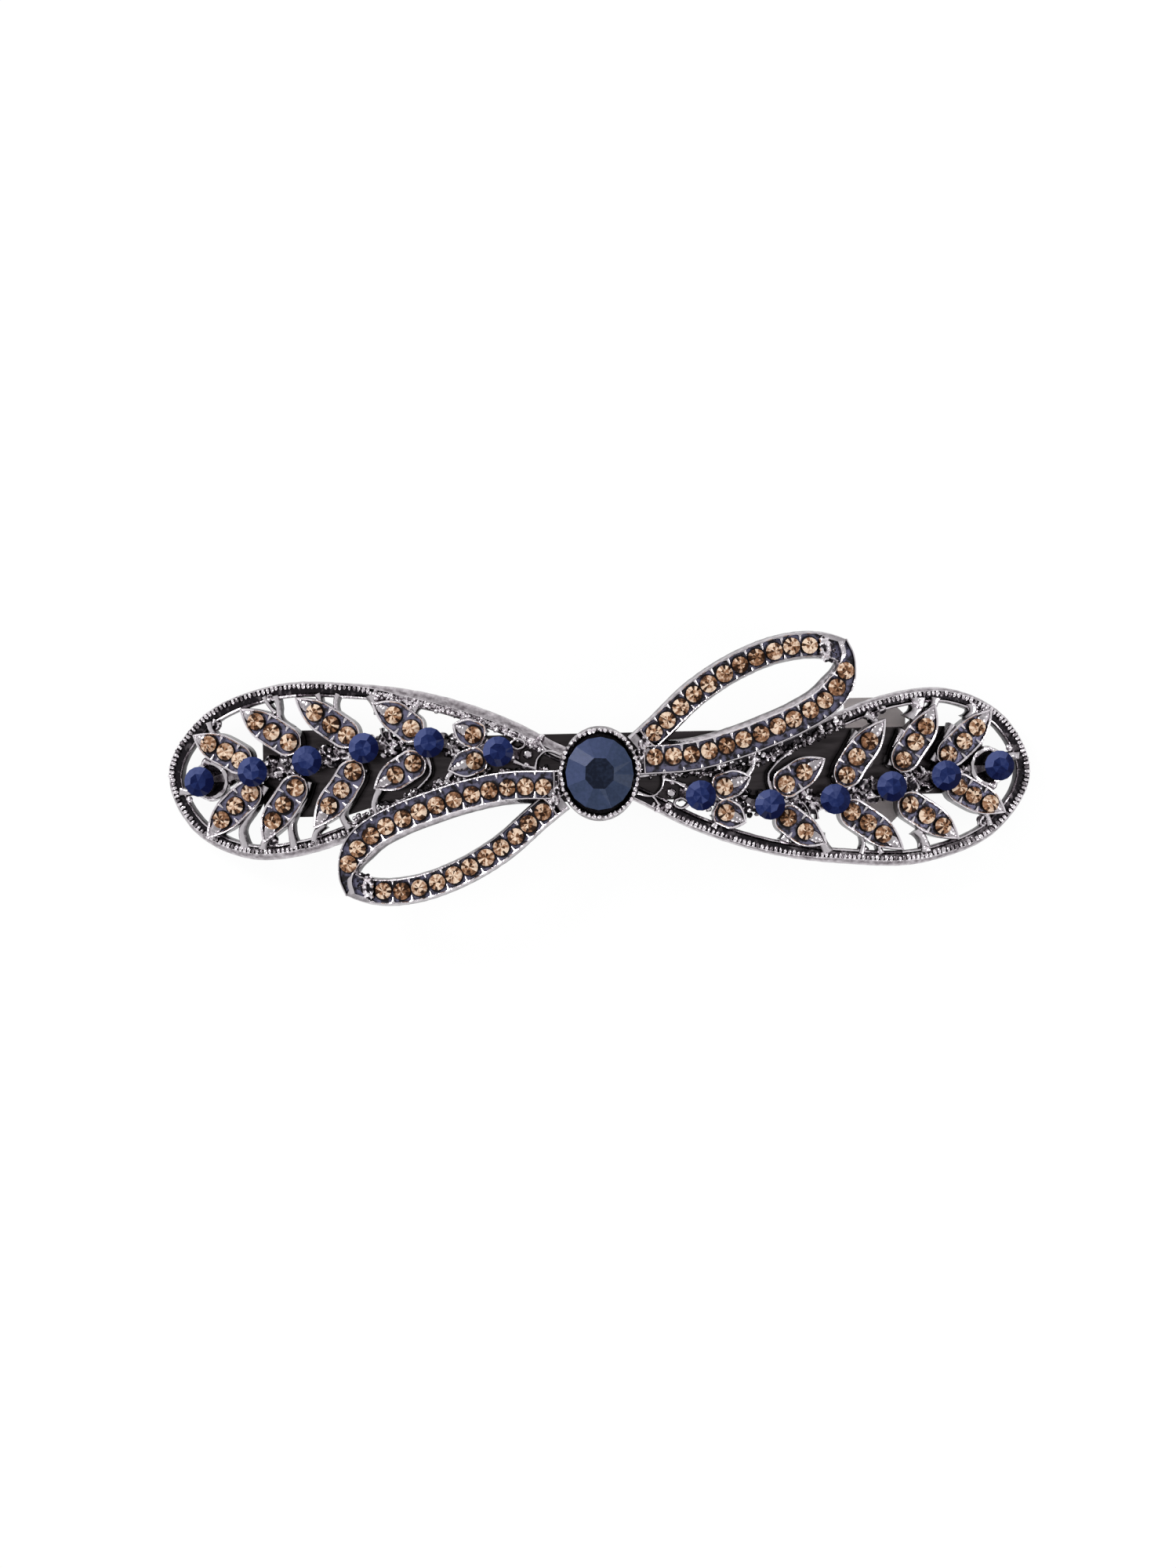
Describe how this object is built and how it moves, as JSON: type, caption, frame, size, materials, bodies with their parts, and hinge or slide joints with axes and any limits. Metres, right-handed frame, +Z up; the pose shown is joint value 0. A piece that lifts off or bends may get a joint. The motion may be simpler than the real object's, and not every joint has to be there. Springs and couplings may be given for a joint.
{
  "type": "rhinestone hair clip",
  "caption": "Bow-shaped openwork hair clip set with navy and champagne crystals, soldered to an arched steel barrette with a hinged locking arm and a pinch catch.",
  "frame": {"origin": "on the flat underside of the closed locking arm, midway between the bow's ends, on the clip's middle plane", "axes": "+X from the hinge to the catch along the clip, +Z up through the decorated face, +Y across the clip"},
  "size_m": [0.0964, 0.0296, 0.0138],
  "materials": {
    "plated_casting": "bright dark-nickel plate over a cast zinc alloy, blackened in the recesses",
    "centre_crystal": "faceted smoky navy glass, foil-backed",
    "navy_crystal": "faceted navy glass, foil-backed",
    "champagne_crystal": "faceted champagne glass, foil-backed",
    "clip_steel": "rolled strip steel with a dark gunmetal plate",
    "pin_steel": "drawn wire steel, headed",
    "catch_steel": "bright nickel-plated spring steel",
    "solder": "soft solder, slightly dull"
  },
  "bodies": {
    "clip_base": {"base_plate": "clip_steel", "hinge_pin": "pin_steel", "catch_bridge": "clip_steel", "catch_rivets": "pin_steel", "solder_joints": "solder", "left_wing": "plated_casting", "right_wing": "plated_casting", "lower_loop": "plated_casting", "upper_loop": "plated_casting", "centre_bezel": "plated_casting", "centre_stone": "centre_crystal", "left_navy_stone_1": "navy_crystal", "left_navy_stone_2": "navy_crystal", "left_navy_stone_3": "navy_crystal", "left_navy_stone_4": "navy_crystal", "left_navy_stone_5": "navy_crystal", "left_navy_stone_6": "navy_crystal", "right_navy_stone_1": "navy_crystal", "right_navy_stone_2": "navy_crystal", "right_navy_stone_3": "navy_crystal", "right_navy_stone_4": "navy_crystal", "right_navy_stone_5": "navy_crystal", "right_navy_stone_6": "navy_crystal", "left_upper_leaf_stones_1": "champagne_crystal", "left_upper_leaf_stones_2": "champagne_crystal", "left_upper_leaf_stones_3": "champagne_crystal", "left_upper_leaf_stones_4": "champagne_crystal", "left_upper_leaf_stones_5": "champagne_crystal", "left_lower_leaf_stones_1": "champagne_crystal", "left_lower_leaf_stones_2": "champagne_crystal", "left_lower_leaf_stones_3": "champagne_crystal", "left_lower_leaf_stones_4": "champagne_crystal", "left_lower_leaf_stones_5": "champagne_crystal", "right_upper_leaf_stones_1": "champagne_crystal", "right_upper_leaf_stones_2": "champagne_crystal", "right_upper_leaf_stones_3": "champagne_crystal", "right_upper_leaf_stones_4": "champagne_crystal", "right_upper_leaf_stones_5": "champagne_crystal", "right_lower_leaf_stones_1": "champagne_crystal", "right_lower_leaf_stones_2": "champagne_crystal", "right_lower_leaf_stones_3": "champagne_crystal", "right_lower_leaf_stones_4": "champagne_crystal", "right_lower_leaf_stones_5": "champagne_crystal", "lower_loop_near_stones": "champagne_crystal", "lower_loop_far_stones": "champagne_crystal", "upper_loop_near_stones": "champagne_crystal", "upper_loop_far_stones": "champagne_crystal"},
    "arm": {"locking_arm": "clip_steel"},
    "tension": {"tension_bar": "clip_steel"},
    "jaw_front": {"catch_jaw_front": "catch_steel"},
    "jaw_back": {"catch_jaw_back": "catch_steel"}
  },
  "joints": [
    {"name": "arm_hinge", "type": "hinge", "parent": "clip_base", "child": "arm", "pos_m": [-0.0353, 0, 0.0013], "axis": [0, 1, 0], "range_deg": [0, 80]},
    {"name": "tension_hinge", "type": "hinge", "parent": "clip_base", "child": "tension", "pos_m": [-0.0353, 0, 0.0013], "axis": [0, 1, 0], "range_deg": [0, 40]},
    {"name": "jaw_front_squeeze", "type": "slide", "parent": "clip_base", "child": "jaw_front", "axis": [0, 1, 0], "range_m": [0, 0.0006], "stiffness_N_per_m": 2000},
    {"name": "jaw_back_squeeze", "type": "slide", "parent": "clip_base", "child": "jaw_back", "axis": [0, -1, 0], "range_m": [0, 0.0006], "stiffness_N_per_m": 2000}
  ],
  "couplings": [
    {"joint": "tension_hinge", "follows": "arm_hinge", "ratio": 0.5},
    {"joint": "jaw_back_squeeze", "follows": "jaw_front_squeeze", "ratio": 1}
  ]
}
